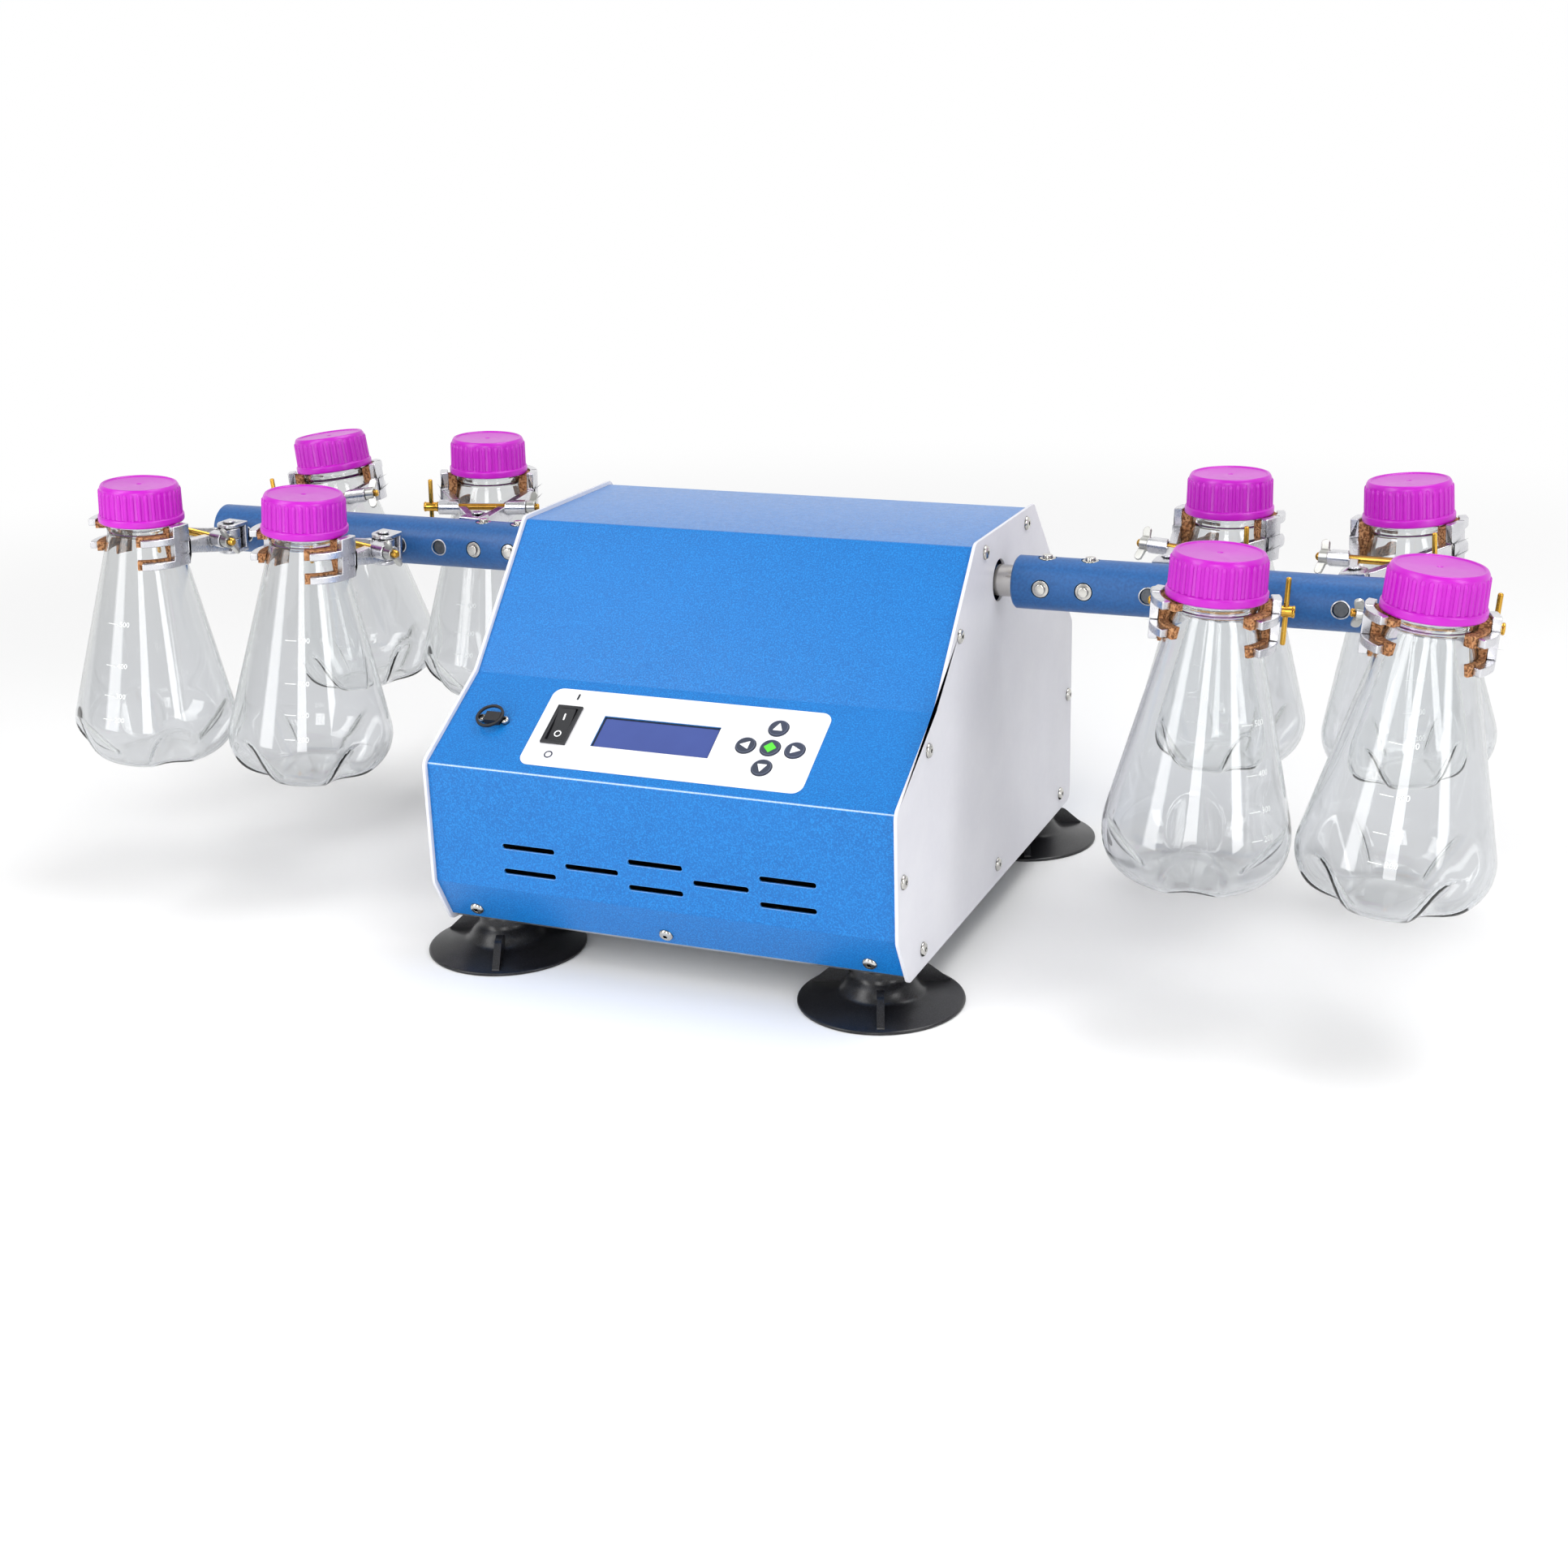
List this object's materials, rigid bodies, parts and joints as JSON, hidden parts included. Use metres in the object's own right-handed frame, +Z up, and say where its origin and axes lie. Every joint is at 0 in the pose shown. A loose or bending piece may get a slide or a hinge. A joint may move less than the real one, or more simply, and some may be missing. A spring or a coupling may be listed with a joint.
{
  "type": "laboratory wrist-action shaker",
  "caption": "Bench shaker: a sloped housing on suction feet rocks two side arms whose cork-lined clamps hold capped conical flasks.",
  "frame": {"origin": "on the bench, under the middle of the swing shaft, in the housing's mid-plane", "axes": "+X along the swing shaft to the right-hand arm, -Y out of the front that faces the user, +Z up"},
  "size_m": [0.9093, 0.3809, 0.2704],
  "materials": {
    "cover_paint": "fine orange-peel powder coat, satin",
    "panel_paint": "smooth powder coat, satin",
    "arm_paint": "satin paint",
    "frame_steel": "plain sheet steel",
    "screw_steel": "plated, button heads",
    "shaft_steel": "ground bright steel",
    "clamp_metal": "cast and plated, semi-bright",
    "brass": "bright turned brass",
    "clear_glass": "clear blown glass",
    "cap_plastic": "moulded, semi-gloss",
    "foot_rubber": "smooth glossy rubber",
    "overlay_film": "polycarbonate film",
    "display_glass": "clear window over a blue character display",
    "key_dark": "silicone, satin",
    "key_green": "silicone, satin",
    "switch_black": "moulded, semi-gloss",
    "port_metal": "stamped and plated",
    "cap_rubber": "matt rubber",
    "motor_paint": "satin black",
    "board_green": "circuit board"
  },
  "bodies": {
    "housing": {"chassis": "frame_steel", "cover": "cover_paint", "left_side_panel": "panel_paint", "right_side_panel": "panel_paint", "case_screws": "screw_steel", "suction_feet": "foot_rubber", "control_overlay": "overlay_film", "display_window": "display_glass", "switch_body": "switch_black", "data_port": "port_metal", "shaft_bearings": "screw_steel", "drive_motor": "motor_paint", "control_board": "board_green", "power_inlet": "switch_black"},
    "arms": {"swing_shaft": "shaft_steel", "left_arm": "arm_paint", "right_arm": "arm_paint", "arm_screws": "screw_steel", "rocker_lever": "clamp_metal", "right_front_inner_clamp": "clamp_metal", "right_front_outer_clamp": "clamp_metal", "right_rear_inner_clamp": "clamp_metal", "right_rear_outer_clamp": "clamp_metal", "left_front_inner_clamp": "clamp_metal", "left_front_outer_clamp": "clamp_metal", "left_rear_inner_clamp": "clamp_metal", "left_rear_outer_clamp": "clamp_metal", "right_front_inner_flask": "clear_glass", "right_front_outer_flask": "clear_glass", "right_rear_inner_flask": "clear_glass", "right_rear_outer_flask": "clear_glass", "left_front_inner_flask": "clear_glass", "left_front_outer_flask": "clear_glass", "left_rear_inner_flask": "clear_glass", "left_rear_outer_flask": "clear_glass", "flask_caps": "cap_plastic"},
    "crank": {"crank": "shaft_steel"},
    "switch_rocker": {"switch_rocker": "switch_black"},
    "port_cap": {"port_cap": "cap_rubber"},
    "up_key": {"up_key": "key_dark"},
    "down_key": {"down_key": "key_dark"},
    "left_key": {"left_key": "key_dark"},
    "right_key": {"right_key": "key_dark"},
    "enter_key": {"enter_key": "key_green"},
    "right_front_inner_jaw": {"right_front_inner_jaw": "clamp_metal"},
    "right_front_inner_screw": {"right_front_inner_screw": "brass"},
    "right_front_outer_jaw": {"right_front_outer_jaw": "clamp_metal"},
    "right_front_outer_screw": {"right_front_outer_screw": "brass"},
    "right_rear_inner_jaw": {"right_rear_inner_jaw": "clamp_metal"},
    "right_rear_inner_screw": {"right_rear_inner_screw": "brass"},
    "right_rear_outer_jaw": {"right_rear_outer_jaw": "clamp_metal"},
    "right_rear_outer_screw": {"right_rear_outer_screw": "brass"},
    "left_front_inner_jaw": {"left_front_inner_jaw": "clamp_metal"},
    "left_front_inner_screw": {"left_front_inner_screw": "brass"},
    "left_front_outer_jaw": {"left_front_outer_jaw": "clamp_metal"},
    "left_front_outer_screw": {"left_front_outer_screw": "brass"},
    "left_rear_inner_jaw": {"left_rear_inner_jaw": "clamp_metal"},
    "left_rear_inner_screw": {"left_rear_inner_screw": "brass"},
    "left_rear_outer_jaw": {"left_rear_outer_jaw": "clamp_metal"},
    "left_rear_outer_screw": {"left_rear_outer_screw": "brass"}
  },
  "joints": [
    {"name": "arm_swing", "type": "hinge", "parent": "housing", "child": "arms", "pos_m": [0, 0, 0.2165], "axis": [1, 0, 0], "range_deg": [-5, 5]},
    {"name": "crank_turn", "type": "hinge", "parent": "housing", "child": "crank", "pos_m": [0, 0, 0.1015], "axis": [1, 0, 0], "range_deg": [-76, 76]},
    {"name": "power_rocker", "type": "hinge", "parent": "housing", "child": "switch_rocker", "pos_m": [-0.073, -0.14536, 0.14538], "axis": [1, 0, 0], "range_deg": [-16, 0]},
    {"name": "up_key_press", "type": "slide", "parent": "housing", "child": "up_key", "axis": [0, 0.5029, -0.8643], "range_m": [0, 0.0004], "stiffness_N_per_m": 400, "springref_m": -0.0004},
    {"name": "down_key_press", "type": "slide", "parent": "housing", "child": "down_key", "axis": [0, 0.5029, -0.8643], "range_m": [0, 0.0004], "stiffness_N_per_m": 400, "springref_m": -0.0004},
    {"name": "left_key_press", "type": "slide", "parent": "housing", "child": "left_key", "axis": [0, 0.5029, -0.8643], "range_m": [0, 0.0004], "stiffness_N_per_m": 400, "springref_m": -0.0004},
    {"name": "right_key_press", "type": "slide", "parent": "housing", "child": "right_key", "axis": [0, 0.5029, -0.8643], "range_m": [0, 0.0004], "stiffness_N_per_m": 400, "springref_m": -0.0004},
    {"name": "enter_key_press", "type": "slide", "parent": "housing", "child": "enter_key", "axis": [0, 0.5029, -0.8643], "range_m": [0, 0.0004], "stiffness_N_per_m": 400, "springref_m": -0.0004},
    {"name": "port_cap_pull", "type": "slide", "parent": "housing", "child": "port_cap", "axis": [0, -0.5029, 0.8643], "range_m": [0, 0.012]},
    {"name": "right_front_inner_jaw_open", "type": "hinge", "parent": "arms", "child": "right_front_inner_jaw", "pos_m": [0.29, -0.0349, 0.2165], "axis": [0.0506, 0, 0.9987], "range_deg": [0, 12]},
    {"name": "right_front_inner_screw_travel", "type": "slide", "parent": "arms", "child": "right_front_inner_screw", "axis": [0.9899, 0.1323, -0.0501], "range_m": [0, 0.00751]},
    {"name": "right_front_outer_jaw_open", "type": "hinge", "parent": "arms", "child": "right_front_outer_jaw", "pos_m": [0.398, -0.0349, 0.2165], "axis": [0.0819, 0, 0.9966], "range_deg": [0, 12]},
    {"name": "right_front_outer_screw_travel", "type": "slide", "parent": "arms", "child": "right_front_outer_screw", "axis": [0.9849, 0.153, -0.081], "range_m": [0, 0.00751]},
    {"name": "right_rear_inner_jaw_open", "type": "hinge", "parent": "arms", "child": "right_rear_inner_jaw", "pos_m": [0.2426, 0.0349, 0.2165], "axis": [0, 0, -1], "range_deg": [0, 12]},
    {"name": "right_rear_inner_screw_travel", "type": "slide", "parent": "arms", "child": "right_rear_inner_screw", "axis": [0.9527, -0.304, 0], "range_m": [0, 0.00751]},
    {"name": "right_rear_outer_jaw_open", "type": "hinge", "parent": "arms", "child": "right_rear_outer_jaw", "pos_m": [0.3518, 0.0349, 0.2165], "axis": [0.0593, 0, -0.9982], "range_deg": [0, 12]},
    {"name": "right_rear_outer_screw_travel", "type": "slide", "parent": "arms", "child": "right_rear_outer_screw", "axis": [0.952, -0.3007, 0.0566], "range_m": [0, 0.00751]},
    {"name": "left_front_inner_jaw_open", "type": "hinge", "parent": "arms", "child": "left_front_inner_jaw", "pos_m": [-0.261, -0.0349, 0.2165], "axis": [-0.0802, 0, -0.9968], "range_deg": [0, 12]},
    {"name": "left_front_inner_screw_travel", "type": "slide", "parent": "arms", "child": "left_front_inner_screw", "axis": [-0.9813, 0.1754, 0.079], "range_m": [0, 0.00751]},
    {"name": "left_front_outer_jaw_open", "type": "hinge", "parent": "arms", "child": "left_front_outer_jaw", "pos_m": [-0.383, -0.0349, 0.2165], "axis": [-0.0593, 0, -0.9982], "range_deg": [0, 12]},
    {"name": "left_front_outer_screw_travel", "type": "slide", "parent": "arms", "child": "left_front_outer_screw", "axis": [-0.9723, 0.2267, 0.0578], "range_m": [0, 0.00751]},
    {"name": "left_rear_inner_jaw_open", "type": "hinge", "parent": "arms", "child": "left_rear_inner_jaw", "pos_m": [-0.2306, 0.0349, 0.2165], "axis": [0.0366, 0, 0.9993], "range_deg": [0, 12]},
    {"name": "left_rear_inner_screw_travel", "type": "slide", "parent": "arms", "child": "left_rear_inner_screw", "axis": [-0.9185, -0.3939, 0.0337], "range_m": [0, 0.00751]},
    {"name": "left_rear_outer_jaw_open", "type": "hinge", "parent": "arms", "child": "left_rear_outer_jaw", "pos_m": [-0.36, 0.0349, 0.2165], "axis": [-0.1045, 0, 0.9945], "range_deg": [0, 12]},
    {"name": "left_rear_outer_screw_travel", "type": "slide", "parent": "arms", "child": "left_rear_outer_screw", "axis": [-0.9328, -0.3469, -0.098], "range_m": [0, 0.00751]}
  ],
  "couplings": [
    {"joint": "crank_turn", "follows": "arm_swing", "ratio": 15},
    {"joint": "right_front_inner_screw_travel", "follows": "right_front_inner_jaw_open", "m_per_rad": 0.0344},
    {"joint": "right_front_outer_screw_travel", "follows": "right_front_outer_jaw_open", "m_per_rad": 0.0344},
    {"joint": "right_rear_inner_screw_travel", "follows": "right_rear_inner_jaw_open", "m_per_rad": 0.0344},
    {"joint": "right_rear_outer_screw_travel", "follows": "right_rear_outer_jaw_open", "m_per_rad": 0.0344},
    {"joint": "left_front_inner_screw_travel", "follows": "left_front_inner_jaw_open", "m_per_rad": 0.0344},
    {"joint": "left_front_outer_screw_travel", "follows": "left_front_outer_jaw_open", "m_per_rad": 0.0344},
    {"joint": "left_rear_inner_screw_travel", "follows": "left_rear_inner_jaw_open", "m_per_rad": 0.0344},
    {"joint": "left_rear_outer_screw_travel", "follows": "left_rear_outer_jaw_open", "m_per_rad": 0.0344}
  ]
}
